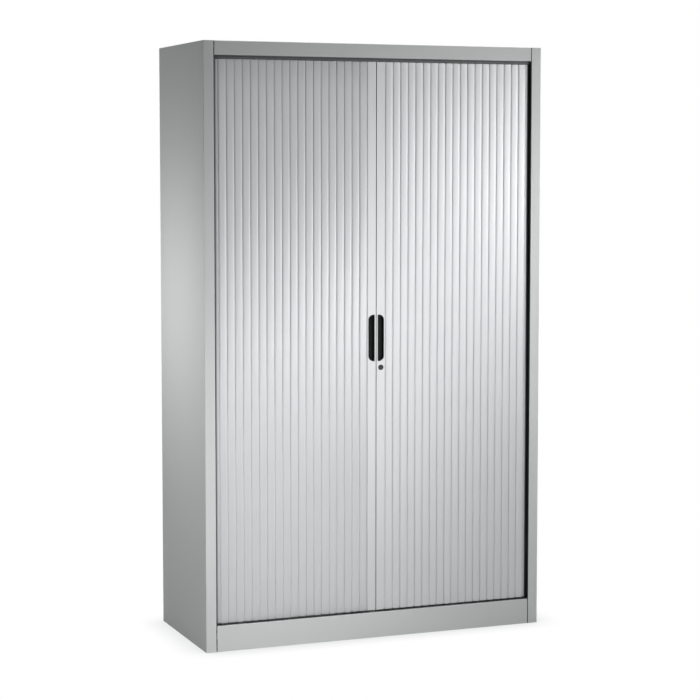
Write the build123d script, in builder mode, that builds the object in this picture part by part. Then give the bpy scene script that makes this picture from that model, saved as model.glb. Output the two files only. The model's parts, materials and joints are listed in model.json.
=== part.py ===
"""Roll-front cabinet: a folded steel case with two slatted curtains that roll round into its sides.

Millimetres. X to the right, Y to the back, Z up. The origin is the middle of the footprint on the floor.
Paired pieces are drawn on the right (+X) and mirrored to the left.
"""
from build123d import *
from math import cos, hypot, pi, sin
import os

os.makedirs("parts", exist_ok=True)

# ---------------------------------------------------------------- driving sizes
width, depth, height = 1200.0, 500.0, 1980.0
sheet = 1.0  # steel of the case
bend = 2.0  # outside radius of a visible fold
stile = 35.0  # front face of each side panel
stile_return = 9.5
rear_flange = 22.0
rail_height = 46.0
plinth_height = 87.0
lip = 8.0  # depth of the rail's and the plinth's folded edge
seam = 1.5  # gap between a stile and the rail or plinth beside it
foot_flange = 18.0  # flange of each side panel on the floor
edge_flange = 22.0  # turned edges of the hidden panels

# curtain track, seen from above: hinge line of the curtain inside the case
front_inset = 15.0
side_inset = 24.0
back_inset = 24.0
corner_radius = 30.0
back_run = 105.0
track_width = 14.0
track_height = 12.0
groove_width = 10.0
groove_depth = 8.0
top_track_drop = 10.0  # how far the top track hangs below the rail
channel_height = 6.0  # the top track is a low channel on a narrow neck
channel_groove = 4.8
neck_width = 4.0

# curtain
pitch = 27.1
slat_count = 21
hinge_accuracy = 0.000001  # to which the places of the hinges are worked out
slat_skin = 1.1
slat_crown = 4.5  # middle of the face, in front of the hinge line
slat_shoulder = 3.8  # ends of the face, in front of the hinge line
slat_lip = 1.2  # hinge to the end of the face that reaches over the hook beside it
slat_reveal = 0.9  # the other end of the face to the middle of its own hook
stem_length = 4.2  # hinge to the leg of the skin
hook_radius = 2.9
hook_bore = 1.8
bead_radius = 1.5
stem_half = 0.5
bottom_show = 4.5  # gap between a slat and the track below it
top_show = 1.5  # gap between a slat and the track above it
glide_step = 2  # every second slat has glides
glide_width, glide_thick = 14.0, 4.6
glide_seat = 0.3

# leading slats, grips and lock
door_gap = 2.0
lead_pitch = 32.5  # centre line of the case to the first hinge of the curtain
lead_front, lead_back = 4.5, 7.0  # faces of the leading slat from the hinge line
lead_wall = 1.4
grip_width, grip_height = 21.9, 155.6
grip_centre_z = 1010.0
grip_inner_edge = 5.7
grip_outer_round, grip_inner_round = 18.0, 2.5
grip_flange, grip_flange_thick = 2.2, 1.0
grip_wall, grip_depth = 1.2, 8.4
lock_x, lock_z = 17.0, 911.0
rosette_radius, rosette_thick = 9.5, 1.4
barrel_radius, barrel_rear = 8.0, 12.0  # how far the barrel stands behind the leading slat
plug_radius, plug_clearance = 5.4, 0.05
nut_flats, nut_thick = 22.0, 3.0
cam_thick, cam_width, cam_reach = 2.0, 13.0, 26.0
cam_bolt_flats, cam_bolt_high = 8.0, 3.0
strike_radius = 2.5

# shelving
liner_inset = 44.0  # side of the case to the compartment wall
liner_front, liner_rear = 42.0, 41.0  # front and back of the case to the compartment walls
upright_width, upright_deep = 24.0, 6.0
upright_reach = 130.0  # uprights before and behind the middle of the depth
slot_width, slot_height = 3.4, 14.0
slot_rise = 100.0  # from one slot to the next above it
slot_rows = 16
first_slot = 50.0  # middle of the lowest slot above the floor panel
shelf_slots = (3, 7, 11, 15)  # rows of slots that carry the shelves, the lowest row being 0
shelf_lip, shelf_return = 25.0, 12.0
shelf_side_gap, shelf_front_inset, shelf_rear_gap = 3.0, 52.0, 4.0
clip_thick, clip_ledge, clip_hook = 3.0, 12.0, 2.0
clip_neck, clip_drop = 9.0, 5.0

# feet
foot_inset = 65.0  # sides, front and back of the case to the middle of a foot
foot_radius, foot_thick, foot_lift = 17.0, 6.0, 1.5
stem_radius, stem_clearance = 5.0, 0.05
bracket_z, bracket_size, bracket_thick = 34.0, 50.0, 5.0

# ---------------------------------------------------------------- places worked out from them
half_width = width / 2
front, rear = -depth / 2, depth / 2
inner_side = half_width - sheet  # inside face of a side panel
stile_edge = half_width - stile
rail_end = stile_edge - seam
rail_bottom = height - rail_height
top_track_z = rail_bottom - top_track_drop
ceiling_z = top_track_z + track_height
floor_z = plinth_height - track_height  # upper face of the floor panel
hinge_y = front + front_inset
track_x = half_width - side_inset
track_back_y = rear - back_inset
liner_x = half_width - liner_inset  # pocket face of a side wall
liner_front_y = front + liner_front
liner_rear_y = rear - liner_rear
upright_face = liner_x - sheet - upright_deep
slat_bottom = plinth_height + bottom_show
slat_top = top_track_z - top_show
slat_length = slat_top - slat_bottom
lead_front_y = hinge_y - lead_front
lead_rear_y = hinge_y + lead_back
plan = Plane.XY
quarter_turn = pi / 2 * corner_radius  # length of the path round one corner
foot_x, foot_y = half_width - foot_inset, depth / 2 - foot_inset


def save(builder, label):
    builder.part.label = label
    export_step(builder.part, f"parts/{label}.step")


def save_pair(right_builder, label):
    # the piece as drawn, and its mirror image on the left
    save(right_builder, f"{label}_right")
    with BuildPart() as left_builder:
        mirror(right_builder.part, about=Plane.YZ)
    save(left_builder, f"{label}_left")


def folded(points, inside=Side.LEFT):
    # end view of a folded sheet whose bends show: a strip inside the line of its outer face
    with BuildSketch() as strip:
        with BuildLine():
            FilletPolyline(*points, radius=bend)
            offset(amount=sheet, side=inside)
        make_face()
    return strip.sketch


def creased(points, inside=Side.LEFT, thick=sheet):
    # the same for a hidden panel, with sharp bends
    with BuildSketch() as strip:
        with BuildLine():
            Polyline(*points)
            offset(amount=thick, side=inside, kind=Kind.INTERSECTION)
        make_face()
    return strip.sketch


def front_plane(y):
    # a plane facing the front of the cabinet, drawn in X and Z
    return Plane.XZ.offset(-y)


# ---------------------------------------------------------------- case
with BuildPart() as side_panel:
    with BuildSketch(plan):
        add(
            folded(
                [
                    (stile_edge, front + stile_return),
                    (stile_edge, front),
                    (half_width, front),
                    (half_width, rear),
                    (half_width - rear_flange, rear),
                ]
            )
        )
    extrude(amount=height)
    for z in (0, height - 2 * sheet):  # floor flange, and the flange under the top panel
        with BuildSketch(plan.offset(z)):
            with Locations((inner_side - foot_flange / 2, 0)):
                Rectangle(foot_flange, depth - 2 * stile_return - 2 * edge_flange)
        extrude(amount=sheet)
save_pair(side_panel, "side_panel")

with BuildPart() as top_panel:
    with BuildSketch(Plane.YZ):
        add(
            folded(
                [
                    (front + lip, rail_bottom),
                    (front, rail_bottom),
                    (front, height),
                    (rear - 2 * sheet, height),
                    (rear - 2 * sheet, height - edge_flange),
                ],
                inside=Side.RIGHT,
            )
        )
    extrude(amount=rail_end, both=True)
    # the top reaches over the side panels' flanges, with an ear behind each stile
    with BuildSketch(plan.offset(height - sheet)):
        with Locations((0, (stile_return - 2 * sheet) / 2)):
            Rectangle(2 * inner_side, depth - stile_return - 2 * sheet)
        ear_wide, ear_deep = stile - 4 * sheet, stile_return - 2 * sheet
        with Locations(*[(side * (half_width - stile / 2), front + 2 * sheet) for side in (-1, 1)]):
            Rectangle(ear_wide, ear_deep, align=(Align.CENTER, Align.MIN))
    extrude(amount=sheet)
save(top_panel, "top_panel")

with BuildPart() as front_plinth:
    with BuildSketch(Plane.YZ):
        add(
            folded(
                [
                    (front + lip, plinth_height),
                    (front, plinth_height),
                    (front, 0),
                    (front + foot_flange, 0),
                ]
            )
        )
    extrude(amount=rail_end, both=True)
save(front_plinth, "front_plinth")

with BuildPart() as back_panel:
    with BuildSketch(Plane.YZ):
        add(
            creased(
                [(rear - sheet - foot_flange, 0), (rear - sheet, 0), (rear - sheet, height)],
            )
        )
    extrude(amount=inner_side - foot_flange - seam, both=True)
    with BuildSketch(front_plane(rear - sheet)):
        with Locations((0, height / 2)):
            Rectangle(2 * (inner_side - bend + sheet), height)
    extrude(amount=sheet)
save(back_panel, "back_panel")

# floor and ceiling of the compartment: trays whose turned edges lie against the case
floor_front, tray_rear = front + sheet, rear - 2 * sheet


def tray(z, turn):
    # turn is +1 for edges turned up and -1 for edges turned down; z is the tray's outer face
    inside = Side.LEFT if turn > 0 else Side.RIGHT
    with BuildPart() as panel:
        with BuildSketch(Plane.YZ):
            add(
                creased(
                    [
                        (floor_front, z + turn * edge_flange),
                        (floor_front, z),
                        (tray_rear, z),
                        (tray_rear, z + turn * edge_flange),
                    ],
                    inside=inside,
                )
            )
        extrude(amount=rail_end, both=True)
        with BuildSketch(front_plane(front + stile_return + seam)):
            add(
                creased(
                    [
                        (-inner_side, z + turn * edge_flange),
                        (-inner_side, z),
                        (inner_side, z),
                        (inner_side, z + turn * edge_flange),
                    ],
                    inside=inside,
                )
            )
        extrude(amount=-(depth - stile_return - 2 * sheet - 2 * seam - bend))
    return panel


ceiling_panel = tray(ceiling_z, 1)
save(ceiling_panel, "ceiling_panel")

floor_panel = tray(floor_z, -1)
save(floor_panel, "floor_panel")

stiffener_high, stiffener_wide, stiffener_foot = 30.0, 60.0, 18.0
with BuildPart() as floor_stiffener:
    with BuildSketch(Plane.YZ):
        add(
            creased(
                [
                    (-stiffener_wide / 2 - stiffener_foot, floor_z - sheet),
                    (-stiffener_wide / 2, floor_z - sheet),
                    (-stiffener_wide / 2, floor_z - sheet - stiffener_high),
                    (stiffener_wide / 2, floor_z - sheet - stiffener_high),
                    (stiffener_wide / 2, floor_z - sheet),
                    (stiffener_wide / 2 + stiffener_foot, floor_z - sheet),
                ],
                inside=Side.RIGHT,
            )
        )
    extrude(amount=inner_side - sheet - seam, both=True)
save(floor_stiffener, "floor_stiffener")

# ---------------------------------------------------------------- compartment walls
wall_height = ceiling_z - floor_z
wall_face = liner_x - sheet  # compartment face of a side wall
with BuildPart() as side_wall:
    with BuildSketch(plan.offset(floor_z)):
        add(
            creased(
                [
                    (liner_x + lip, liner_front_y),
                    (wall_face, liner_front_y),
                    (wall_face, liner_rear_y),
                    (wall_face - foot_flange, liner_rear_y),
                ],
                inside=Side.RIGHT,
            )
        )
    extrude(amount=wall_height)
save_pair(side_wall, "side_wall")

with BuildPart() as rear_wall:
    with BuildSketch(front_plane(liner_rear_y)):
        with Locations((0, (floor_z + ceiling_z) / 2)):
            Rectangle(2 * (wall_face - seam), wall_height)
    extrude(amount=sheet)
save(rear_wall, "rear_wall")

# ---------------------------------------------------------------- uprights, shelves and clips
slot_middle = floor_z + first_slot + (slot_rows - 1) / 2 * slot_rise
upright_places = (("front", -upright_reach), ("rear", upright_reach))
for place, upright_y in upright_places:
    with BuildPart() as upright:
        with BuildSketch(plan.offset(floor_z)):
            add(
                creased(
                    [
                        (wall_face, upright_y - upright_width / 2),
                        (upright_face, upright_y - upright_width / 2),
                        (upright_face, upright_y + upright_width / 2),
                        (wall_face, upright_y + upright_width / 2),
                    ],
                    inside=Side.RIGHT,
                )
            )
        extrude(amount=wall_height)
        with BuildSketch(Plane.YZ.offset(upright_face)):
            with Locations((upright_y, slot_middle)):
                with GridLocations(slot_width, slot_rise, 1, slot_rows):
                    Rectangle(slot_width, slot_height)
        extrude(amount=sheet, mode=Mode.SUBTRACT)
    save_pair(upright, f"upright_{place}")

ledge_levels = [
    floor_z + first_slot + row * slot_rise - slot_height / 2 + clip_neck for row in shelf_slots
]
shelf_end = upright_face - shelf_side_gap
shelf_front_y, shelf_rear_y = front + shelf_front_inset, liner_rear_y - sheet - shelf_rear_gap
for number, ledge in enumerate(ledge_levels, start=1):
    top = ledge + shelf_lip
    with BuildPart() as shelf:
        with BuildSketch(Plane.YZ):
            add(
                creased(
                    [
                        (shelf_front_y + shelf_return, ledge),
                        (shelf_front_y, ledge),
                        (shelf_front_y, top),
                        (shelf_rear_y, top),
                        (shelf_rear_y, ledge),
                        (shelf_rear_y - shelf_return, ledge),
                    ],
                    inside=Side.RIGHT,
                )
            )
        extrude(amount=shelf_end, both=True)
        with BuildSketch(plan.offset(ledge)):  # turned-down ends, which stand on the clips
            for side in (-1, 1):
                with Locations((side * (shelf_end - sheet / 2), (shelf_front_y + shelf_rear_y) / 2)):
                    Rectangle(sheet, shelf_rear_y - shelf_front_y - 2 * bend)
        extrude(amount=shelf_lip)
    save(shelf, f"shelf_{number}")

with BuildPart() as clips_right:
    for ledge in ledge_levels:
        slot_foot = ledge - clip_neck
        hook_face = upright_face + sheet + stem_clearance  # the hook hangs behind the slotted face
        for _, upright_y in upright_places:
            with BuildSketch(front_plane(upright_y + clip_thick / 2)):
                with BuildLine():
                    Polyline(
                        (upright_face - clip_ledge, ledge),
                        (hook_face + clip_hook, ledge),
                        (hook_face + clip_hook, slot_foot - clip_drop),
                        (hook_face, slot_foot - clip_drop),
                        (hook_face, slot_foot),
                        (upright_face, slot_foot),
                        (upright_face, slot_foot - clip_drop),
                        (upright_face - clip_ledge / 3, slot_foot - clip_drop),
                        (upright_face - clip_ledge, ledge - clip_drop),
                        close=True,
                    )
                make_face()
            extrude(amount=clip_thick)
with BuildPart() as shelf_clips:
    add(clips_right.part)
    mirror(clips_right.part, about=Plane.YZ)
save(shelf_clips, "shelf_clips")

# ---------------------------------------------------------------- curtain tracks
# A straight channel runs along the front; a moulded one on each side takes the curtain round the
# front corner, along the side, round the rear corner and a little way along the back.
corner_start = track_x - corner_radius
front_track_end = corner_start - corner_radius


# each track is a stack of layers: foot, height, width and whether it adds or cuts
bottom_groove_z = plinth_height - groove_depth
track_layers = {
    "bottom": (
        (floor_z, track_height, track_width, Mode.ADD),
        (bottom_groove_z, groove_depth, groove_width, Mode.SUBTRACT),
    ),
    "top": (
        (top_track_z, channel_height, track_width, Mode.ADD),
        (top_track_z + channel_height, track_height - channel_height, neck_width, Mode.ADD),
        (top_track_z, channel_groove, groove_width, Mode.SUBTRACT),
    ),
}
for level_name, layers in track_layers.items():
    with BuildPart() as front_track:
        for foot_z, high, wide, mode in layers:
            with BuildSketch(plan.offset(foot_z)):
                with Locations((0, hinge_y)):
                    Rectangle(2 * front_track_end, wide)
            extrude(amount=high, mode=mode)
    save(front_track, f"{level_name}_front_track")

    with BuildPart() as side_track:
        with BuildLine(plan) as route:
            FilletPolyline(
                (front_track_end, hinge_y),
                (track_x, hinge_y),
                (track_x, track_back_y),
                (corner_start - back_run, track_back_y),
                radius=corner_radius,
            )
        for foot_z, high, wide, mode in layers:
            with BuildSketch(plan.offset(foot_z)):
                trace(route.wires()[0], line_width=wide)
            extrude(amount=high, mode=mode)
    save_pair(side_track, f"{level_name}_side_track")

# ---------------------------------------------------------------- curtain
# One slat in plan, drawn from its bead (left) to its hook (right); the case's front is towards -Y.
# The hook holds the next slat's bead, and its mouth is open towards the back, so that the curtain
# bends one way only, round the corners of the track. The face reaches over the hook beside it.


def hook_ring():
    with BuildSketch() as ring:
        RegularPolygon(hook_radius, side_count=6, major_radius=False)
        RegularPolygon(hook_bore, side_count=6, major_radius=False, mode=Mode.SUBTRACT)
        mouth = 2 * hook_radius
        with BuildLine():
            Polyline((0, 0), (0, -mouth), (mouth, -mouth), (mouth, mouth), (mouth / 3, mouth), close=True)
        make_face(mode=Mode.SUBTRACT)
    return ring.sketch


with BuildSketch() as slat_profile:
    face_end = pitch - slat_reveal
    face_middle = (slat_lip + face_end) / 2
    wall_end = -(hook_radius + hook_bore) / 2  # within the hook's own thickness
    with BuildLine():
        outer = ThreePointArc(
            (slat_lip, -slat_shoulder), (face_middle, -slat_crown), (face_end, -slat_shoulder)
        )
        Polyline(
            outer @ 1,
            (face_end, wall_end),
            (face_end - slat_skin, wall_end),
            (face_end - slat_skin, slat_skin - slat_shoulder),
            (face_middle, slat_skin - slat_crown),
            (stem_length + slat_skin, slat_skin - slat_shoulder),
            (stem_length + slat_skin, stem_half),
            (0, stem_half),
            (0, -stem_half),
            (stem_length, -stem_half),
            (stem_length, slat_skin - slat_shoulder),
            (slat_lip, slat_skin - slat_shoulder),
            outer @ 0,
        )
    make_face()
    RegularPolygon(bead_radius, side_count=6)
    with Locations((pitch, 0)):
        add(hook_ring())


def path_point(s):
    # a point of the hinge line, s along it from the middle of the front
    side_run = track_back_y - hinge_y - 2 * corner_radius
    if s <= corner_start:
        return s, hinge_y
    s -= corner_start
    if s <= quarter_turn:
        turn = s / corner_radius
        return corner_start + corner_radius * sin(turn), hinge_y + corner_radius * (1 - cos(turn))
    s -= quarter_turn
    if s <= side_run:
        return track_x, hinge_y + corner_radius + s
    s -= side_run
    turn = min(s, quarter_turn) / corner_radius
    beyond = max(0.0, s - quarter_turn)
    return (
        corner_start + corner_radius * cos(turn) - beyond,
        track_back_y - corner_radius * (1 - sin(turn)),
    )


def next_hinge(s):
    # the hinges stay one pitch apart in a straight line, so a slat is a chord of the corner
    x, y = path_point(s)
    low, high = s, s + 2 * pitch
    while high - low > hinge_accuracy:
        middle = (low + high) / 2
        mx, my = path_point(middle)
        if hypot(mx - x, my - y) < pitch:
            low = middle
        else:
            high = middle
    return high


slat_planes = []
hinge = lead_pitch
for _ in range(slat_count):
    following = next_hinge(hinge)
    (x0, y0), (x1, y1) = path_point(hinge), path_point(following)
    slat_planes.append(Plane(origin=(x0, y0, 0), x_dir=(x1 - x0, y1 - y0, 0), z_dir=(0, 0, 1)))
    hinge = following

with BuildPart() as slat:
    with BuildSketch(plan.offset(slat_bottom)):
        add(slat_profile.sketch)
    extrude(amount=slat_length)
with BuildPart() as curtain:
    for plane in slat_planes:
        add(plane.location * slat.part)
save_pair(curtain, "curtain")

# glides: nylon tongues in the slats' ends, which run in the tracks
bottom_glide_z = bottom_groove_z + glide_seat
top_glide_z = top_track_z + channel_groove - 4 * glide_seat
glide_middle_w = glide_thick / 2 - slat_crown + glide_seat
glide_spans = ((bottom_glide_z, slat_bottom), (slat_top, top_glide_z))


def glide_blocks(middle_u, middle_w):
    with BuildPart() as blocks:
        for low, high in glide_spans:
            with BuildSketch(plan.offset(low)):
                with Locations((middle_u, middle_w)):
                    Rectangle(glide_width, glide_thick)
            extrude(amount=high - low)
    return blocks.part


one_pair = glide_blocks(face_middle, glide_middle_w)
with BuildPart() as glides:
    for plane in slat_planes[::glide_step]:
        add(plane.location * one_pair)
save_pair(glides, "curtain_glides")

# ---------------------------------------------------------------- leading slats
lead_start, lead_end = door_gap / 2, lead_pitch - hook_bore - sheet / 4
grip_middle_x = grip_inner_edge + grip_width / 2


def grip_outline(inset):
    # straight along the meeting edge, with a large round at the outer corners
    with BuildSketch() as outline:
        with Locations((grip_middle_x, grip_centre_z)):
            Rectangle(grip_width - 2 * inset, grip_height - 2 * inset)
        fillet(outline.vertices().group_by(Axis.X)[-1], radius=grip_outer_round - inset)
        if inset < grip_inner_round:
            fillet(outline.vertices().group_by(Axis.X)[0], radius=grip_inner_round - inset)
    return outline.sketch


def lead_slat(cuts):
    # a hollow profile with the curtain's first hook on its outer edge; cuts are (outline, depth)
    with BuildPart() as lead:
        with BuildSketch(plan.offset(slat_bottom)):
            middle = ((lead_start + lead_end) / 2, (lead_front_y + lead_rear_y) / 2)
            with Locations(middle):
                Rectangle(lead_end - lead_start, lead_rear_y - lead_front_y)
            with Locations((lead_pitch, hinge_y)):
                add(hook_ring())
            with Locations(middle):
                Rectangle(
                    lead_end - lead_start - 2 * lead_wall,
                    lead_rear_y - lead_front_y - 2 * lead_wall,
                    mode=Mode.SUBTRACT,
                )
        extrude(amount=slat_length)
        front_edges = lead.edges().filter_by(Axis.Z).group_by(Axis.Y)[0]
        fillet(front_edges, radius=lead_wall * 0.9)
        for outline, cut_depth in cuts:
            with BuildSketch(front_plane(lead_front_y)):
                add(outline)
            extrude(amount=-cut_depth, mode=Mode.SUBTRACT)
    return lead


with BuildSketch() as barrel_hole:
    with Locations((lock_x, lock_z)):
        Circle(barrel_radius + plug_clearance)
grip_cut = (grip_outline(grip_flange - plug_clearance), lead_wall)
barrel_cut = (barrel_hole.sketch, lead_rear_y - lead_front_y)

lead_right = lead_slat([grip_cut, barrel_cut])
save(lead_right, "leading_slat_right")
lead_plain = lead_slat([grip_cut])
with BuildPart() as lead_left:
    mirror(lead_plain.part, about=Plane.YZ)
save(lead_left, "leading_slat_left")

with BuildPart() as lead_glides:
    add(glide_blocks((lead_start + lead_end) / 2, hinge_y))
save_pair(lead_glides, "leading_glides")

with BuildPart() as grip:
    with BuildSketch(front_plane(lead_front_y)):
        add(grip_outline(0))
    extrude(amount=grip_flange_thick)
    with BuildSketch(front_plane(lead_front_y)):
        add(grip_outline(grip_flange))
    extrude(amount=-grip_depth)
    with BuildSketch(front_plane(lead_front_y - grip_flange_thick)):
        add(grip_outline(grip_flange + grip_wall / 2))
    extrude(amount=grip_wall - grip_depth - grip_flange_thick, mode=Mode.SUBTRACT)
save_pair(grip, "grip")

# ---------------------------------------------------------------- lock
barrel_end_y = lead_rear_y + barrel_rear
with BuildPart() as lock_barrel:
    with BuildSketch(front_plane(lead_front_y)):
        with Locations((lock_x, lock_z)):
            Circle(rosette_radius)
    extrude(amount=rosette_thick, taper=30)
    with BuildSketch(front_plane(lead_front_y)):
        with Locations((lock_x, lock_z)):
            Circle(barrel_radius)
    extrude(amount=lead_front_y - barrel_end_y)
    with BuildSketch(front_plane(barrel_end_y)):
        with Locations((lock_x, lock_z)):
            Circle(plug_radius + plug_clearance)
    extrude(amount=depth, mode=Mode.SUBTRACT)
save(lock_barrel, "lock_barrel")

with BuildPart() as lock_nut:
    with BuildSketch(front_plane(lead_rear_y)):
        with Locations((lock_x, lock_z)):
            RegularPolygon(nut_flats / 2, side_count=6, major_radius=False)
            Circle(barrel_radius + plug_clearance, mode=Mode.SUBTRACT)
    extrude(amount=-nut_thick)
save(lock_nut, "lock_nut")

plug_front_y = lead_front_y - rosette_thick / 2
cam_y = barrel_end_y + glide_seat  # front face of the cam
key_wide, key_high, key_deep = 1.4, 7.0, 6.0
square = 6.0
with BuildPart() as lock_plug:
    with BuildSketch(front_plane(plug_front_y)):
        with Locations((lock_x, lock_z)):
            Circle(plug_radius)
    extrude(amount=plug_front_y - cam_y)
    with BuildSketch(front_plane(cam_y)):
        with Locations((lock_x, lock_z)):
            Rectangle(square, square)
    extrude(amount=-cam_thick)
    with BuildSketch(front_plane(plug_front_y)):
        with Locations((lock_x, lock_z)):
            Rectangle(key_wide, key_high)
    extrude(amount=-key_deep, mode=Mode.SUBTRACT)
save(lock_plug, "lock_plug")

# The cam hangs down when unlocked. Turned a quarter, its slot closes round the strike.
slot_half = strike_radius + glide_seat
with BuildSketch() as cam_slot:
    Circle(cam_reach + slot_half)
    Circle(cam_reach - slot_half, mode=Mode.SUBTRACT)
    with Locations((slot_half, -cam_reach)):
        Rectangle(cam_width, cam_reach, align=(Align.MAX, Align.CENTER), mode=Mode.INTERSECT)
with BuildPart() as lock_cam:
    with BuildSketch(front_plane(cam_y)):
        with Locations((lock_x, lock_z)):
            Rectangle(cam_width, cam_reach + 2 * slot_half, align=(Align.CENTER, Align.MAX))
            Circle(cam_width / 2)
            add(cam_slot.sketch, mode=Mode.SUBTRACT)
            Rectangle(square, square, mode=Mode.SUBTRACT)
    extrude(amount=-cam_thick)
save(lock_cam, "lock_cam")

with BuildPart() as cam_bolt:
    with BuildSketch(front_plane(cam_y + cam_thick)):
        with Locations((lock_x, lock_z)):
            RegularPolygon(cam_bolt_flats / 2, side_count=6, major_radius=False)
    extrude(amount=-cam_bolt_high)
save(cam_bolt, "cam_bolt")

# strike: a headed post on a plate behind the left leading slat
strike_x = lock_x - cam_reach
strike_end_y = cam_y + cam_thick + strike_radius
strike_plate_wide, strike_plate_high, strike_plate_thick = 14.0, 40.0, 2.0
with BuildPart() as strike:
    with BuildSketch(front_plane(lead_rear_y)):
        with Locations((strike_x - strike_radius / 2, lock_z)):
            Rectangle(strike_plate_wide, strike_plate_high)
    extrude(amount=-strike_plate_thick)
    with BuildSketch(front_plane(lead_rear_y)):
        with Locations((strike_x, lock_z)):
            Circle(strike_radius)
    extrude(amount=lead_rear_y - strike_end_y)
    with BuildSketch(front_plane(strike_end_y)):
        with Locations((strike_x, lock_z)):
            RegularPolygon(strike_radius + sheet, side_count=6)
    extrude(amount=-sheet)
save(strike, "strike")

# ---------------------------------------------------------------- levelling feet
# Each foot is a screw in a thick tapped bracket on the side panel.
foot_places = [(x, y) for x in (-foot_x, foot_x) for y in (-foot_y, foot_y)]
bracket_top = floor_z - edge_flange - seam
with BuildPart() as bracket_right:
    for foot_side_y in (-foot_y, foot_y):
        with BuildSketch(front_plane(foot_side_y + bracket_size / 2)):
            add(
                creased(
                    [
                        (foot_x - bracket_size / 2, bracket_z),
                        (inner_side, bracket_z),
                        (inner_side, bracket_top),
                    ],
                    thick=bracket_thick,
                )
            )
        extrude(amount=bracket_size)
        with BuildSketch(plan.offset(bracket_z)):
            with Locations((foot_x, foot_side_y)):
                Circle(stem_radius + stem_clearance)
        extrude(amount=bracket_thick, mode=Mode.SUBTRACT)
with BuildPart() as foot_brackets:
    add(bracket_right.part)
    mirror(bracket_right.part, about=Plane.YZ)
save(foot_brackets, "foot_brackets")

stem_top = floor_z - 4 * sheet
foot_names = ("foot_front_left", "foot_rear_left", "foot_front_right", "foot_rear_right")
for foot_name, (place_x, place_y) in zip(foot_names, foot_places):
    with BuildPart() as foot:
        with BuildSketch(plan.offset(foot_lift)):
            with Locations((place_x, place_y)):
                RegularPolygon(foot_radius, side_count=6)
        extrude(amount=foot_thick, taper=15)
        with BuildSketch(plan.offset(foot_lift + foot_thick)):
            with Locations((place_x, place_y)):
                Circle(stem_radius)
        extrude(amount=stem_top - foot_lift - foot_thick)
    save(foot, foot_name)
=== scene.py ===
import json
import math
import bpy
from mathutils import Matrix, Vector


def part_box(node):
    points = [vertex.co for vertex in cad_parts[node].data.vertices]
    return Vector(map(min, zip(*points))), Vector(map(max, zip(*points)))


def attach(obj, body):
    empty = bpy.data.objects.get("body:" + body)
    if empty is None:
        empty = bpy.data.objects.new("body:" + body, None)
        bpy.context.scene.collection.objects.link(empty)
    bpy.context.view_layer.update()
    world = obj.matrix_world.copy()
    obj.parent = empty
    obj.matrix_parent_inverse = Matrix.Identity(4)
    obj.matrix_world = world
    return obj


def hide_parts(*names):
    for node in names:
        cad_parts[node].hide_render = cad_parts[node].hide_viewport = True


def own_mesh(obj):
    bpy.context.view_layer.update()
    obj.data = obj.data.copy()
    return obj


# Steel cabinet whose two slatted curtains roll sideways into the case.
# Metres, front towards -Y, origin on the floor under the middle of the case.

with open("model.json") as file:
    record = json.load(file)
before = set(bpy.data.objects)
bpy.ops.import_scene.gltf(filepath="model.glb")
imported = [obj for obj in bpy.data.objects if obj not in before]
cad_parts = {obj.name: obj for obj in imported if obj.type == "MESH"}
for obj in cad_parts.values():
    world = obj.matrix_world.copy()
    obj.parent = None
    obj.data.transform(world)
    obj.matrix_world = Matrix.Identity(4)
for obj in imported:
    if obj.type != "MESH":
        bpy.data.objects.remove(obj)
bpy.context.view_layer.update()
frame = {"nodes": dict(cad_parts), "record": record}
nodes = frame["nodes"]
mm = 0.001
near = 0.01 * mm  # places closer than this count as one
print("frame loaded,", len(nodes), "nodes")


# small helpers for working in edit mode

def deselectAll():
    if bpy.context.object and bpy.context.object.mode != "OBJECT":
        bpy.ops.object.mode_set(mode="OBJECT")
    bpy.ops.object.select_all(action="DESELECT")


def makeActive(piece):
    deselectAll()
    piece.select_set(True)
    bpy.context.view_layer.objects.active = piece


def editMode(piece, kind="FACE"):
    makeActive(piece)
    bpy.ops.object.mode_set(mode="EDIT")
    bpy.ops.mesh.select_mode(type=kind)
    bpy.ops.mesh.select_all(action="DESELECT")


def pickVerts(piece, wanted):
    # selects the vertices that the test accepts, then goes back to edit mode
    objectMode()
    for v in piece.data.vertices:
        v.select = bool(wanted(v.co))
    for e in piece.data.edges:
        e.select = all(piece.data.vertices[i].select for i in e.vertices)
    for f in piece.data.polygons:
        f.select = all(piece.data.vertices[i].select for i in f.vertices)
    bpy.ops.object.mode_set(mode="EDIT")


def pickEdges(piece, wanted):
    # selects the edges whose two ends pass the test, then goes to edit mode
    editMode(piece, "EDGE")
    objectMode()
    for edge in piece.data.edges:
        one, other = (piece.data.vertices[i].co for i in edge.vertices)
        edge.select = bool(wanted(one, other))
    bpy.ops.object.mode_set(mode="EDIT")


def objectMode():
    bpy.ops.object.mode_set(mode="OBJECT")


def applyPlace(piece):
    makeActive(piece)
    bpy.ops.object.transform_apply(location=True, rotation=True, scale=True)


def applyModifiers(piece):
    makeActive(piece)
    for modifier in list(piece.modifiers):
        bpy.ops.object.modifier_apply(modifier=modifier.name)


def addBox(low, high):
    # a box between two corners, its place and size applied
    deselectAll()
    bpy.ops.mesh.primitive_cube_add(size=1, location=(Vector(low) + Vector(high)) / 2)
    box = bpy.context.object
    box.scale = Vector(high) - Vector(low)
    applyPlace(box)
    return box


def addRod(radius, frontY, rearY, x, z, corners):
    # a cylinder that lies along Y
    deselectAll()
    bpy.ops.mesh.primitive_cylinder_add(vertices=corners, radius=radius, depth=rearY - frontY,
                                        location=(x, (frontY + rearY) / 2, z), rotation=(math.pi / 2, 0, 0))
    rod = bpy.context.object
    applyPlace(rod)
    return rod


def copyPiece(piece, name):
    # a copy with its own mesh
    made = piece.copy()
    made.data = piece.data.copy()
    made.name = made.data.name = name
    bpy.context.scene.collection.objects.link(made)
    return made


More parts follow.
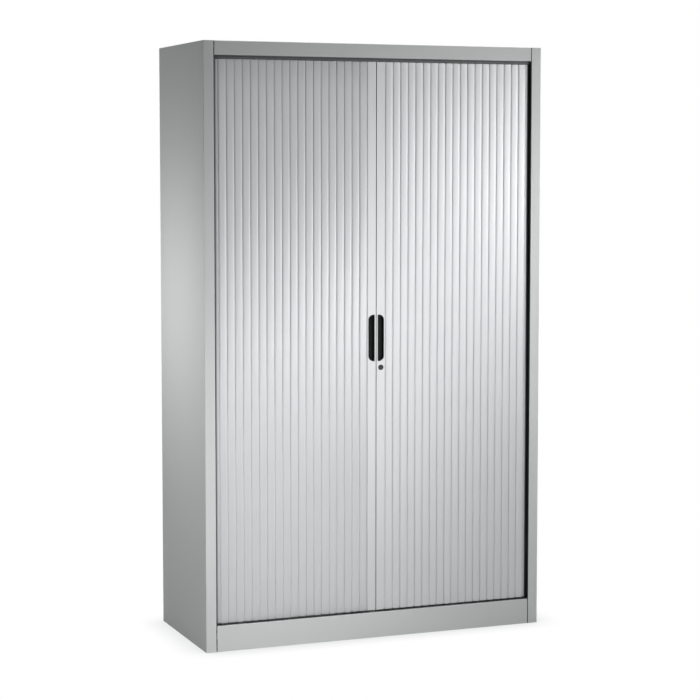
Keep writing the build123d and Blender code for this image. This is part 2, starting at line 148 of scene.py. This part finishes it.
def joinPieces(parts, name):
    deselectAll()
    for part in parts:
        part.select_set(True)
    bpy.context.view_layer.objects.active = parts[0]
    bpy.ops.object.join()
    parts[0].name = parts[0].data.name = name
    return parts[0]


def mirrorX(piece, name):
    made = copyPiece(piece, name)
    made.scale.x = -1
    applyPlace(made)
    bpy.ops.object.mode_set(mode="EDIT")
    bpy.ops.mesh.select_all(action="SELECT")
    bpy.ops.mesh.flip_normals()
    objectMode()
    return made


def finishEdges(piece, width, segments, angle):
    # rounds the edges, and keeps the shading of the flat faces between them flat
    rounded = piece.modifiers.new("rounded", "BEVEL")
    rounded.width = width
    rounded.segments = segments
    rounded.limit_method = "ANGLE"
    rounded.angle_limit = math.radians(angle)
    applyModifiers(piece)
    bpy.ops.object.shade_smooth_by_angle(angle=math.radians(angle))
    flatter = piece.modifiers.new("flatter", "WEIGHTED_NORMAL")
    flatter.keep_sharp = True
    applyModifiers(piece)


# materials

def newMaterial(name):
    material = bpy.data.materials.new(name)
    material.use_nodes = True
    return material, material.node_tree.nodes, material.node_tree.links


def newGroup(name, inputs, outputs):
    # a node group with float sockets; inputs are (name, value)
    group = bpy.data.node_groups.new(name, "ShaderNodeTree")
    for label, value in inputs:
        socket = group.interface.new_socket(name=label, in_out="INPUT", socket_type="NodeSocketFloat")
        socket.default_value = value
    for label in outputs:
        group.interface.new_socket(name=label, in_out="OUTPUT", socket_type="NodeSocketFloat")
    made = group.nodes
    return group, made, group.links, made.new("NodeGroupInput"), made.new("NodeGroupOutput")


def mathNode(made, link, operation, first, second=None):
    # one Math node; each operand is a socket or a number
    node = made.new("ShaderNodeMath")
    node.operation = operation
    for index, operand in enumerate((first, second)):
        if operand is None:
            continue
        if isinstance(operand, (int, float)):
            node.inputs[index].default_value = operand
        else:
            link.new(operand, node.inputs[index])
    return node.outputs[0]


grainLook = dict(detail=3, roughness=0.6, driftDetail=2, glossSpan=(0.3, 0.7), bumpStrength=0.5)


def fineGroup():
    # fine grain over a slow drift: a mask for colour, one for gloss and a height for bump
    group, made, link, inlet, outlet = newGroup(
        "fineGrain", (("Grain size", 900.0), ("Drift size", 2.5), ("Stretch", 1.0)),
        ("Drift", "Gloss", "Height"))
    coords = made.new("ShaderNodeTexCoord")
    longer = made.new("ShaderNodeCombineXYZ")
    longer.inputs[0].default_value = longer.inputs[1].default_value = 1.0
    link.new(inlet.outputs["Stretch"], longer.inputs[2])
    scaled = made.new("ShaderNodeVectorMath")
    scaled.operation = "MULTIPLY"
    link.new(coords.outputs["Object"], scaled.inputs[0])
    link.new(longer.outputs[0], scaled.inputs[1])
    grain = made.new("ShaderNodeTexNoise")
    grain.inputs["Detail"].default_value = grainLook["detail"]
    grain.inputs["Roughness"].default_value = grainLook["roughness"]
    link.new(scaled.outputs[0], grain.inputs["Vector"])
    link.new(inlet.outputs["Grain size"], grain.inputs["Scale"])
    drift = made.new("ShaderNodeTexNoise")
    drift.inputs["Detail"].default_value = grainLook["driftDetail"]
    link.new(coords.outputs["Object"], drift.inputs["Vector"])
    link.new(inlet.outputs["Drift size"], drift.inputs["Scale"])
    both = mathNode(made, link, "ADD", grain.outputs["Fac"], drift.outputs["Fac"])
    link.new(drift.outputs["Fac"], outlet.inputs["Drift"])
    link.new(mathNode(made, link, "MULTIPLY", both, 0.5), outlet.inputs["Gloss"])
    link.new(grain.outputs["Fac"], outlet.inputs["Height"])
    return group


def paintedHighlightGroup():
    # a mask that is 1 where a face turns between the three main directions, as on a fold, where a lighter
    # colour is painted as a highlight
    group, made, link, inlet, outlet = newGroup("foldSheen", (("Sharpness", 6.0),), ("Fold",))
    turned = made.new("ShaderNodeTexCoord")
    parts = made.new("ShaderNodeSeparateXYZ")
    link.new(turned.outputs["Normal"], parts.inputs[0])
    sizes = [mathNode(made, link, "ABSOLUTE", parts.outputs[axis]) for axis in range(3)]
    largest = mathNode(made, link, "MAXIMUM", mathNode(made, link, "MAXIMUM", sizes[0], sizes[1]), sizes[2])
    lean = mathNode(made, link, "SUBTRACT", 1.0, largest)
    strength = mathNode(made, link, "MULTIPLY", lean, inlet.outputs["Sharpness"])
    link.new(mathNode(made, link, "MINIMUM", strength, 1.0), outlet.inputs["Fold"])
    return group


fineGrain, foldSheen = fineGroup(), paintedHighlightGroup()

finishes = {
    # dark and light colour of the drift, colour of the painted highlight on folds, roughness low and high,
    # metallic, grain, stretch along Z, bump in metres, and shine where it isn't the usual half
    "casePaint": dict(dark=(0.668, 0.677, 0.677), light=(0.705, 0.712, 0.710), fold=(0.81, 0.815, 0.815),
                      rough=(0.42, 0.50), metal=0.0, grain=700, stretch=1.0, bump=0.00004, shine=0.15),
    "slatSilver": dict(dark=(0.605, 0.608, 0.623), light=(0.64, 0.643, 0.658), fold=(0.78, 0.78, 0.79),
                       rough=(0.42, 0.50), metal=0.15, grain=900, stretch=0.02, bump=0.00003),
    "leadSilver": dict(dark=(0.615, 0.618, 0.625), light=(0.65, 0.653, 0.66), fold=(0.78, 0.78, 0.78),
                       rough=(0.44, 0.52), metal=0.15, grain=900, stretch=0.02, bump=0.00003),
    "trackPlastic": dict(dark=(0.075, 0.075, 0.08), light=(0.10, 0.10, 0.105), fold=(0.14, 0.14, 0.145),
                         rough=(0.5, 0.6), metal=0.0, grain=500, stretch=1.0, bump=0.00005),
    "glideNylon": dict(dark=(0.012, 0.012, 0.012), light=(0.018, 0.018, 0.018), fold=(0.03, 0.03, 0.03),
                       rough=(0.4, 0.5), metal=0.0, grain=400, stretch=1.0, bump=0.00004),
    "gripBlack": dict(dark=(0.004, 0.004, 0.0045), light=(0.007, 0.007, 0.0075), fold=(0.012, 0.012, 0.012),
                      rough=(0.42, 0.54), metal=0.0, grain=1400, stretch=1.0, bump=0.00005, shine=0.08),
    "lockMetal": dict(dark=(0.016, 0.016, 0.017), light=(0.026, 0.026, 0.027), fold=(0.08, 0.08, 0.082),
                      rough=(0.3, 0.4), metal=0.2, grain=900, stretch=1.0, bump=0.00002, shine=0.2),
    "zincPlate": dict(dark=(0.55, 0.56, 0.57), light=(0.66, 0.66, 0.65), fold=(0.74, 0.74, 0.74),
                      rough=(0.3, 0.45), metal=0.85, grain=300, stretch=1.0, bump=0.00003),
    "footBlack": dict(dark=(0.05, 0.05, 0.05), light=(0.08, 0.08, 0.08), fold=(0.12, 0.12, 0.12),
                      rough=(0.4, 0.55), metal=0.5, grain=500, stretch=1.0, bump=0.00004),
}


def mixColours(made, link, factor, first, second):
    # a colour mix whose ends are a colour value or a socket
    mix = made.new("ShaderNodeMix")
    mix.data_type = "RGBA"
    link.new(factor, mix.inputs["Factor"])
    for label, end in (("A", first), ("B", second)):
        if isinstance(end, tuple):
            mix.inputs[label].default_value = (*end, 1)
        else:
            link.new(end, mix.inputs[label])
    return mix.outputs["Result"]


betweenStiles = ("x", 566.0, 565.6)
behindFace = (("y", -249.7, -249.0), ("y", -215.0, -216.0))
paintedGapShades = {
    # painted shade beside a gap, where the colour is darkened. Each place is a row of (axis, where the dark
    # starts, where it is full) in millimetres, and it is dark only where the whole row is. x counts from the
    # middle to either side.
    "casePaint": dict(colour=(0.035, 0.036, 0.037), places=(
        (("x", 562.4, 563.0), betweenStiles, *behindFace),  # returns of the stiles
        (("z", 1933.0, 1933.4), ("z", 1934.8, 1934.3), betweenStiles, *behindFace),  # lip of the rail
        (("z", 86.0, 86.6), ("z", 87.6, 87.2), betweenStiles, *behindFace))),  # lip of the plinth
    "slatSilver": dict(colour=(0.05, 0.05, 0.052), places=(
        (("x", 554.0, 559.5),),)),  # slats that turn into the case
    "leadSilver": dict(colour=(0.05, 0.05, 0.052), places=(
        (("x", 2.0, 1.7), ("y", -239.3, -238.5)),)),  # faces at which the leading slats meet
}


def paintedShadeMask(made, link, places):
    # 1 where shade is painted, 0 elsewhere
    coords, axes = made.new("ShaderNodeTexCoord"), made.new("ShaderNodeSeparateXYZ")
    link.new(coords.outputs["Object"], axes.inputs[0])
    across = mathNode(made, link, "ABSOLUTE", axes.outputs[0])
    along = dict(x=across, y=axes.outputs[1], z=axes.outputs[2])
    shade = None
    for place in places:
        inside = None
        for axis, start, full in place:
            ramp = made.new("ShaderNodeMapRange")
            ramp.inputs["From Min"].default_value = start * mm
            ramp.inputs["From Max"].default_value = full * mm
            link.new(along[axis], ramp.inputs["Value"])
            step = ramp.outputs["Result"]
            inside = step if inside is None else mathNode(made, link, "MULTIPLY", inside, step)
        shade = inside if shade is None else mathNode(made, link, "MAXIMUM", shade, inside)
    return shade


def makeFinish(name, values):
    material, made, link = newMaterial(name)
    shader = made["Principled BSDF"]
    shader.inputs["Metallic"].default_value = values["metal"]
    shader.inputs["Specular IOR Level"].default_value = values.get("shine", 0.5)
    grain = made.new("ShaderNodeGroup")
    grain.node_tree = fineGrain
    grain.inputs["Grain size"].default_value = values["grain"]
    grain.inputs["Stretch"].default_value = values["stretch"]
    # painted highlight: a lighter colour on folds and rounded edges
    fold = made.new("ShaderNodeGroup")
    fold.node_tree = foldSheen
    flat = mixColours(made, link, grain.outputs["Drift"], values["dark"], values["light"])
    colour = mixColours(made, link, fold.outputs["Fold"], flat, values["fold"])
    # painted shade darkens the colour beside the gaps
    if name in paintedGapShades:
        shade = paintedShadeMask(made, link, paintedGapShades[name]["places"])
        colour = mixColours(made, link, shade, colour, paintedGapShades[name]["colour"])
    link.new(colour, shader.inputs["Base Color"])
    gloss = made.new("ShaderNodeMapRange")
    gloss.inputs["From Min"].default_value, gloss.inputs["From Max"].default_value = grainLook["glossSpan"]
    gloss.inputs["To Min"].default_value, gloss.inputs["To Max"].default_value = values["rough"]
    link.new(grain.outputs["Gloss"], gloss.inputs["Value"])
    link.new(gloss.outputs["Result"], shader.inputs["Roughness"])
    bump = made.new("ShaderNodeBump")
    bump.inputs["Strength"].default_value = grainLook["bumpStrength"]
    bump.inputs["Distance"].default_value = values["bump"]
    link.new(grain.outputs["Height"], bump.inputs["Height"])
    link.new(bump.outputs["Normal"], shader.inputs["Normal"])
    return material


materials = {name: makeFinish(name, values) for name, values in finishes.items()}

slotFinish = {
    "case_paint": "casePaint", "curtain_silver": "slatSilver", "leading_slat_silver": "leadSilver",
    "track_plastic": "trackPlastic", "glide_nylon": "glideNylon", "grip_black": "gripBlack",
    "lock_metal": "lockMetal", "zinc_steel": "zincPlate", "foot_black": "footBlack",
}
slotOf = {row["node"]: row["material_slot"] for row in frame["record"]["subparts"]}
bodyOf = {node: body for body, held in frame["record"]["behaviour"]["bodies"].items() for node in held}


def paint(piece, finish):
    piece.data.materials.clear()
    piece.data.materials.append(materials[finish])


def standFor(piece, node):
    # the piece takes the finish of the node's slot and the body of the node that it is shown for, and the
    # node is hidden
    paint(piece, slotFinish[slotOf[node]])
    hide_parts(node)
    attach(piece, bodyOf[node])


for name, node in nodes.items():
    paint(node, slotFinish[slotOf[name]])
print("materials made:", len(materials))

# pieces whose edges are only eased: copies of the solids with small rounds

easedPieces = {
    # how wide each round is
    "shelf_1": 0.4 * mm, "shelf_2": 0.4 * mm, "shelf_3": 0.4 * mm, "shelf_4": 0.4 * mm,
    "upright_front_left": 0.25 * mm, "upright_front_right": 0.25 * mm,
    "upright_rear_left": 0.25 * mm, "upright_rear_right": 0.25 * mm, "shelf_clips": 0.4 * mm,
    "side_wall_left": 0.4 * mm, "side_wall_right": 0.4 * mm,
    "leading_slat_left": 0.3 * mm, "leading_slat_right": 0.3 * mm,
    "leading_glides_left": 0.8 * mm, "leading_glides_right": 0.8 * mm,
    "bottom_front_track": 0.4 * mm, "top_front_track": 0.4 * mm,
    "bottom_side_track_left": 0.4 * mm, "bottom_side_track_right": 0.4 * mm,
    "top_side_track_left": 0.4 * mm, "top_side_track_right": 0.4 * mm,
    "lock_plug": 0.2 * mm, "lock_nut": 0.4 * mm, "lock_cam": 0.3 * mm, "cam_bolt": 0.4 * mm,
    "strike": 0.3 * mm,
    "foot_front_left": 0.6 * mm, "foot_front_right": 0.6 * mm,
    "foot_rear_left": 0.6 * mm, "foot_rear_right": 0.6 * mm, "foot_brackets": 0.5 * mm,
    "front_plinth": 0.25 * mm, "top_panel": 0.25 * mm,
}
easing = dict(steps=2, angle=30, flatWithin=0.5)
# the rail and the plinth stop short of the side panels' front folds, by a little more than on the bare solids
railEnds = dict(pieces=("front_plinth", "top_panel"), at=563.5 * mm, move=-1.2 * mm, before=-220 * mm)
# and so do the edges at which the leading slats meet
meetingEdges = dict(pieces=("leading_slat_left", "leading_slat_right"), at=1.0 * mm, move=0.5 * mm,
                    before=-220 * mm)


def moveEdges(piece, edges):
    # the vertices at one distance from the middle plane, near the front, go along X
    for side in (-1, 1):
        pickVerts(piece, lambda co: abs(co.x * side - edges["at"]) < near and co.y < edges["before"])
        bpy.ops.transform.translate(value=(side * edges["move"], 0, 0))


def easePiece(node, width):
    words = node.split("_")
    piece = copyPiece(nodes[node], words[0] + "".join(word.capitalize() for word in words[1:]) + "Eased")
    editMode(piece)
    bpy.ops.mesh.select_all(action="SELECT")
    bpy.ops.mesh.remove_doubles(threshold=near)
    bpy.ops.mesh.dissolve_limited(angle_limit=math.radians(easing["flatWithin"]))
    for edges in (railEnds, meetingEdges):
        if node in edges["pieces"]:
            moveEdges(piece, edges)
    objectMode()
    finishEdges(piece, width, easing["steps"], easing["angle"])
    standFor(piece, node)


for name, width in easedPieces.items():
    easePiece(name, width)
print("edges eased on", len(easedPieces), "pieces")

# curtains

slats = dict(pitch=27.1 * mm, count=21, firstHinge=32.5 * mm, hingeLine=-235 * mm, trackX=576 * mm,
             trackBack=226 * mm, corner=30 * mm, accuracy=1e-9, gatherKeep=0.02)
slatSkin = dict(start=1.2 * mm, end=26.2 * mm, thick=1.1 * mm, crown=4.45 * mm, bow=0.65 * mm,
                shoulder=0.5 * mm, shoulderPower=6, columns=14, endRound=3.0 * mm, endSteps=4,
                easing=0.35 * mm, angle=40)
slatHook = dict(radius=2.0 * mm, corners=12, wall=1.1 * mm, legAt=4.2 * mm, stem=1.0 * mm, tuck=1.0 * mm,
                easing=0.2 * mm)


def pathPoint(s):
    # the place on the right-hand track, s metres from the middle: front run, corner, side run, rear
    # corner and rear run
    corner, back, line, side = slats["corner"], slats["trackBack"], slats["hingeLine"], slats["trackX"]
    start, run, bend = side - corner, back - line - 2 * corner, math.pi / 2 * corner
    if s <= start:
        return s, line
    s -= start
    if s <= bend:
        return start + corner * math.sin(s / corner), line + corner * (1 - math.cos(s / corner))
    s -= bend
    if s <= run:
        return side, line + corner + s
    s -= run
    turn = min(s, bend) / corner
    return start + corner * math.cos(turn) - max(0.0, s - bend), back - corner * (1 - math.sin(turn))


def nextHinge(s):
    # how far along the track the hinge one pitch further on lies
    x, y = pathPoint(s)
    low, high = s, s + 2 * slats["pitch"]
    while high - low > slats["accuracy"]:
        middle = (low + high) / 2
        mx, my = pathPoint(middle)
        if math.hypot(mx - x, my - y) < slats["pitch"]:
            low = middle
        else:
            high = middle
    return high


def makeSkin(low, high):
    # the face of a slat: a thin box with rounded corners, cut into columns and pushed out to its crown
    start, end, thick = slatSkin["start"], slatSkin["end"], slatSkin["thick"]
    middle, half = (start + end) / 2, (end - start) / 2
    skin = addBox((start, -thick, low), (end, 0, high))
    pickEdges(skin, lambda one, other: abs(one.y - other.y) > thick / 2)
    bpy.ops.mesh.bevel(offset=slatSkin["endRound"], segments=slatSkin["endSteps"], affect="EDGES")
    for column in range(1, slatSkin["columns"]):
        bpy.ops.mesh.select_all(action="SELECT")
        cut = middle + half * math.sin(math.pi / 2 * (2 * column / slatSkin["columns"] - 1))
        bpy.ops.mesh.bisect(plane_co=(cut, 0, 0), plane_no=(1, 0, 0))
    objectMode()
    sameColumn = near / 10
    for x in sorted({round(v.co.x, 6) for v in skin.data.vertices}):
        away = abs(x - middle) / half
        fall = slatSkin["bow"] * away ** 2 + slatSkin["shoulder"] * away ** slatSkin["shoulderPower"]
        out = slatSkin["crown"] - thick - fall
        editMode(skin, "VERT")
        pickVerts(skin, lambda co: abs(co.x - x) < sameColumn)
        bpy.ops.transform.translate(value=(0, -out, 0))
        objectMode()
    finishEdges(skin, slatSkin["easing"], 2, slatSkin["angle"])
    return skin


def makeSlat(low, high):
    # the skin with the hook at one end, and the leg and stem that reach into the hook beside it
    skin = makeSkin(low, high)
    radius, wall, leg, tuck = (slatHook[size] for size in ("radius", "wall", "legAt", "tuck"))
    innerFace = slatSkin["thick"] - slatSkin["crown"] + slatSkin["bow"] / 2
    end, stem = slatSkin["end"], slatHook["stem"] / 2
    deselectAll()
    bpy.ops.mesh.primitive_cylinder_add(vertices=slatHook["corners"], radius=radius, depth=high - low,
                                        location=(slats["pitch"], 0, (low + high) / 2))
    hook = bpy.context.object
    applyPlace(hook)
    low, high = low + tuck, high - tuck
    inside = [
        hook,
        addBox((end - wall - tuck / 2, innerFace, low), (end - tuck / 2, -radius / 2, high)),
        addBox((leg, innerFace, low), (leg + wall, stem, high)),
        addBox((0, -stem, low), (leg + wall, stem, high)),
    ]
    for part in inside:
        finishEdges(part, slatHook["easing"], 1, slatSkin["angle"])
    return joinPieces([skin] + inside, "slat")


def placeAlongTrack(master, name, every):
    # copies of one piece drawn along X, laid on the chords of the track
    copies, hinge = [], slats["firstHinge"]
    for index in range(slats["count"]):
        following = nextHinge(hinge)
        (x0, y0), (x1, y1) = pathPoint(hinge), pathPoint(following)
        if index % every == 0:
            made = copyPiece(master, f"{name}{index}")
            made.location = (x0, y0, 0)
            made.rotation_euler = (0, 0, math.atan2(y1 - y0, x1 - x0))
            applyPlace(made)
            copies.append(made)
        hinge = following
    return joinPieces(copies, name)


def finishCurtain(piece, side, finish, slotName, *replaced):
    # the curtain takes its finish and stays in the case, and the parts it stands for are hidden
    paint(piece, finish)
    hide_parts(*replaced)
    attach(piece, "case")
    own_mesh(piece)


curtainLow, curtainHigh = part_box("curtain_right")
slat = makeSlat(curtainLow.z, curtainHigh.z)
curtainRight = placeAlongTrack(slat, "curtainSlatsRight", 1)
curtainLeft = mirrorX(curtainRight, "curtainSlatsLeft")
bpy.data.objects.remove(slat)
finishCurtain(curtainRight, "right", "slatSilver", "curtain_silver", "curtain_right")
finishCurtain(curtainLeft, "left", "slatSilver", "curtain_silver", "curtain_left")
print("curtains made")

glide = dict(start=6.7 * mm, end=20.7 * mm, front=-4.0 * mm, back=0.3 * mm, every=2, easing=0.8 * mm)


def makeGlides():
    # a slat's two glides, one at each end
    glideLow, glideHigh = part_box("curtain_glides_right")
    ends = []
    for low, high in ((glideLow.z, curtainLow.z), (curtainHigh.z, glideHigh.z)):
        block = addBox((glide["start"], glide["front"], low), (glide["end"], glide["back"], high))
        finishEdges(block, glide["easing"], 2, slatSkin["angle"])
        ends.append(block)
    return joinPieces(ends, "glidePair")


pair = makeGlides()
glidesRight = placeAlongTrack(pair, "curtainGlidesRight", glide["every"])
glidesLeft = mirrorX(glidesRight, "curtainGlidesLeft")
bpy.data.objects.remove(pair)
finishCurtain(glidesRight, "right", "glideNylon", "glide_nylon", "curtain_glides_right")
finishCurtain(glidesLeft, "left", "glideNylon", "glide_nylon", "curtain_glides_left")
print("glides made")

# grips and lock

grip = dict(flange=2.2 * mm, flangeThick=1.0 * mm, wall=0.6 * mm, outerRound=18 * mm, innerRound=2.5 * mm,
            outerSteps=10, innerSteps=5, floorWall=1.2 * mm, draft=(0.86, 1, 0.97), easing=0.35 * mm,
            angle=30)


def makeGrip():
    # a rimmed cup: rounded plate, a body behind it and a pocket with leaning walls pushed in from the front
    low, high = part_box("grip_right")
    rimBack = low.y + grip["flangeThick"]
    cup = addBox(low, (high.x, rimBack, high.z))
    middle = (low.x + high.x) / 2
    rounds = (
        (lambda x: x > middle, grip["outerRound"], grip["outerSteps"]),
        (lambda x: x < low.x + near, grip["innerRound"], grip["innerSteps"]),
    )
    for atSide, radius, steps in rounds:
        pickEdges(cup, lambda one, other: abs(one.y - other.y) > grip["flangeThick"] / 2 and atSide(one.x))
        bpy.ops.mesh.bevel(offset=radius, segments=steps, affect="EDGES")
        objectMode()
    editMode(cup)
    pickVerts(cup, lambda co: co.y > rimBack - near)
    bpy.ops.mesh.inset(thickness=grip["flange"])
    bpy.ops.mesh.extrude_region_move(TRANSFORM_OT_translate={"value": (0, high.y - rimBack, 0)})
    pickVerts(cup, lambda co: co.y < low.y + near)
    bpy.ops.mesh.inset(thickness=grip["flange"] + grip["wall"])
    depth = high.y - low.y - grip["floorWall"]
    bpy.ops.mesh.extrude_region_move(TRANSFORM_OT_translate={"value": (0, depth, 0)})
    bpy.ops.transform.resize(value=grip["draft"])
    objectMode()
    finishEdges(cup, grip["easing"], 3, grip["angle"])
    return cup


gripRight = makeGrip()
gripRight.name = gripRight.data.name = "gripCupRight"
gripLeft = mirrorX(gripRight, "gripCupLeft")
standFor(gripRight, "grip_right")
standFor(gripLeft, "grip_left")

rosette = dict(x=17 * mm, z=911 * mm, face=8.6 * mm, foot=9.5 * mm, thick=1.4 * mm, rim=1.6 * mm,
               sink=0.7 * mm, barrel=8.0 * mm, plugPlay=0.15 * mm, corners=48, easing=0.25 * mm, angle=25)


def makeRosette():
    # the lock's round face with its barrel: a dished ring, leaning outside, hollow up to the plug
    low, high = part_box("lock_barrel")
    back = low.y + rosette["thick"]
    foot, face, rim = rosette["foot"], rosette["face"], rosette["rim"]
    ring = addRod(foot, low.y, back, rosette["x"], rosette["z"], rosette["corners"])
    editMode(ring)
    pickVerts(ring, lambda co: co.y < low.y + near)
    lean = face / foot
    bpy.ops.transform.resize(value=(lean, 1, lean), center_override=(rosette["x"], low.y, rosette["z"]))
    bpy.ops.mesh.inset(thickness=rim)
    bpy.ops.mesh.extrude_region_move(TRANSFORM_OT_translate={"value": (0, rosette["sink"] / 2, 0)})
    plugLow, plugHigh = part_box("lock_plug")
    plugRadius = (plugHigh.x - plugLow.x) / 2
    bpy.ops.mesh.inset(thickness=face - rim - plugRadius - rosette["plugPlay"])
    bpy.ops.mesh.extrude_region_move(TRANSFORM_OT_translate={"value": (0, rosette["thick"], 0)})
    pickVerts(ring, lambda co: co.y > back - near
              and math.hypot(co.x - rosette["x"], co.z - rosette["z"]) > foot - near)
    bpy.ops.mesh.inset(thickness=foot - rosette["barrel"])
    bpy.ops.mesh.extrude_region_move(TRANSFORM_OT_translate={"value": (0, high.y - back, 0)})
    objectMode()
    finishEdges(ring, rosette["easing"], 2, rosette["angle"])
    ring.name = ring.data.name = "lockRosette"
    standFor(ring, "lock_barrel")


makeRosette()
print("grips and lock made")

# floor, light and camera

stage = dict(size=40.0, pale=(0.8, 0.8, 0.8), roughness=0.9, shine=0.1, white=(1.0, 1.0, 1.0),
             shade=(0.62, 0.63, 0.64), reach=0.10, underneath=(0.02, 0.02, 0.02), halfWidth=0.597,
             halfDepth=0.247)


def seenRay(made, link):
    # 1 for rays by which the stage is seen, directly, mirrored or through glass
    path = made.new("ShaderNodeLightPath")
    straight = mathNode(made, link, "MAXIMUM", path.outputs["Is Camera Ray"], path.outputs["Is Glossy Ray"])
    return mathNode(made, link, "MAXIMUM", straight, path.outputs["Is Transmission Ray"])


def showTo(made, link, lit, seen, output):
    # one shader lights the object, and the other is what the stage looks like
    mix = made.new("ShaderNodeMixShader")
    link.new(seenRay(made, link), mix.inputs["Fac"])
    link.new(lit.outputs[0], mix.inputs[1])
    link.new(seen.outputs[0], mix.inputs[2])
    link.new(mix.outputs[0], made[output].inputs["Surface"])


def makeFloor():
    deselectAll()
    bpy.ops.mesh.primitive_plane_add(size=stage["size"], location=(0, 0, 0))
    floor = bpy.context.object
    floor.name = "floor"
    material, made, link = newMaterial("paleFloor")
    shader = made["Principled BSDF"]
    shader.inputs["Base Color"].default_value = (*stage["pale"], 1)
    shader.inputs["Roughness"].default_value = stage["roughness"]
    shader.inputs["Specular IOR Level"].default_value = stage["shine"]
    contact = made.new("ShaderNodeAmbientOcclusion")
    contact.inputs["Distance"].default_value = stage["reach"]
    shadow = mixColours(made, link, contact.outputs["AO"], stage["shade"], stage["white"])
    # no light reaches the floor inside the footprint of the case
    coords, axes = made.new("ShaderNodeTexCoord"), made.new("ShaderNodeSeparateXYZ")
    link.new(coords.outputs["Object"], axes.inputs[0])
    inside = [
        mathNode(made, link, "LESS_THAN", mathNode(made, link, "ABSOLUTE", axes.outputs[axis]), half)
        for axis, half in enumerate((stage["halfWidth"], stage["halfDepth"]))
    ]
    covered = mathNode(made, link, "MULTIPLY", *inside)
    glow = made.new("ShaderNodeEmission")
    link.new(mixColours(made, link, covered, shadow, stage["underneath"]), glow.inputs["Color"])
    showTo(made, link, shader, glow, "Material Output")
    floor.data.materials.append(material)


fill = dict(strength=0.10, colour=(0.92, 1.0, 1.01))


def makeWorld():
    world = bpy.data.worlds.new("studio")
    bpy.context.scene.world = world
    world.use_nodes = True
    made, link = world.node_tree.nodes, world.node_tree.links
    soft = made["Background"]
    soft.inputs["Color"].default_value = (*fill["colour"], 1)
    soft.inputs["Strength"].default_value = fill["strength"]
    seen = made.new("ShaderNodeBackground")
    seen.inputs["Color"].default_value = (*stage["white"], 1)
    seen.inputs["Strength"].default_value = 1.0
    showTo(made, link, soft, seen, "World Output")


lamps = {
    # place, what it looks at, size, power in watts, and spread in degrees where it is a beam
    "side": dict(place=(-1.35, 0.1, 1.14), aim=(-0.6, 0.05, 1.14), size=0.35, power=2.5, spread=150),
    "left": dict(place=(-1.9, -1.6, 0.75), aim=(-0.4, -0.25, 0.80), size=0.5, power=0.6, spread=70),
    "leftLow": dict(place=(-0.9, -2.0, 0.35), aim=(-0.4, -0.25, 0.30), size=0.5, power=2.0, spread=80),
    "rightLow": dict(place=(0.6, -2.2, 0.55), aim=(-0.5, -0.25, 0.75), size=0.5, power=0.46, spread=50),
    "rightMiddle": dict(place=(0.8, -2.3, 1.05), aim=(-0.4, -0.25, 1.00), size=0.7, power=2.75, spread=80),
    "rightHigh": dict(place=(1.5, -1.9, 1.55), aim=(0.35, -0.25, 1.30), size=0.7, power=9.8),
    "rightBeam": dict(place=(2.0, -1.9, 1.60), aim=(0.4, -0.25, 1.45), size=0.5, power=1.6, spread=55),
    "rightFar": dict(place=(2.3, -1.5, 1.45), aim=(0.35, -0.25, 1.40), size=0.6, power=1.3, spread=90),
    "rear": dict(place=(2.2, 2.8, 1.9), aim=(0.2, 0.1, 1.0), size=1.5, power=50),
    "above": dict(place=(0.1, 0.2, 4.0), aim=(0.0, 0.1, 2.0), size=1.2, power=8, spread=80),
}


def makeLamp(name, values):
    data = bpy.data.lights.new(name, "AREA")
    data.shape = "SQUARE"
    data.size = values["size"]
    data.energy = values["power"]
    data.spread = math.radians(values.get("spread", 180))
    lamp = bpy.data.objects.new(name, data)
    bpy.context.scene.collection.objects.link(lamp)
    lamp.location = values["place"]
    towards = Vector(values["aim"]) - Vector(values["place"])
    lamp.rotation_euler = towards.to_track_quat("-Z", "Y").to_euler()
    lamp.visible_camera = False


makeFloor()
makeWorld()
for name, values in lamps.items():
    makeLamp(name, values)

viewpoint = dict(
    # degrees turned to the right and down, focal length and shift as shares of the picture's width, and
    # the sensor's width in millimetres
    place=(-2.516, -6.367, 1.589), turn=21.57, down=4.54, focal=1997 / 700, shift=-0.04, sensor=36,
)
cameraData = bpy.data.cameras.new("camera")
cameraData.sensor_width = viewpoint["sensor"]
cameraData.lens = viewpoint["focal"] * viewpoint["sensor"]
cameraData.shift_y = viewpoint["shift"]
camera = bpy.data.objects.new("camera", cameraData)
bpy.context.scene.collection.objects.link(camera)
camera.location = viewpoint["place"]
camera.rotation_euler = (math.radians(90 - viewpoint["down"]), 0, math.radians(-viewpoint["turn"]))
bpy.context.scene.camera = camera
bpy.context.scene.view_settings.view_transform = "Standard"
print("stage made")
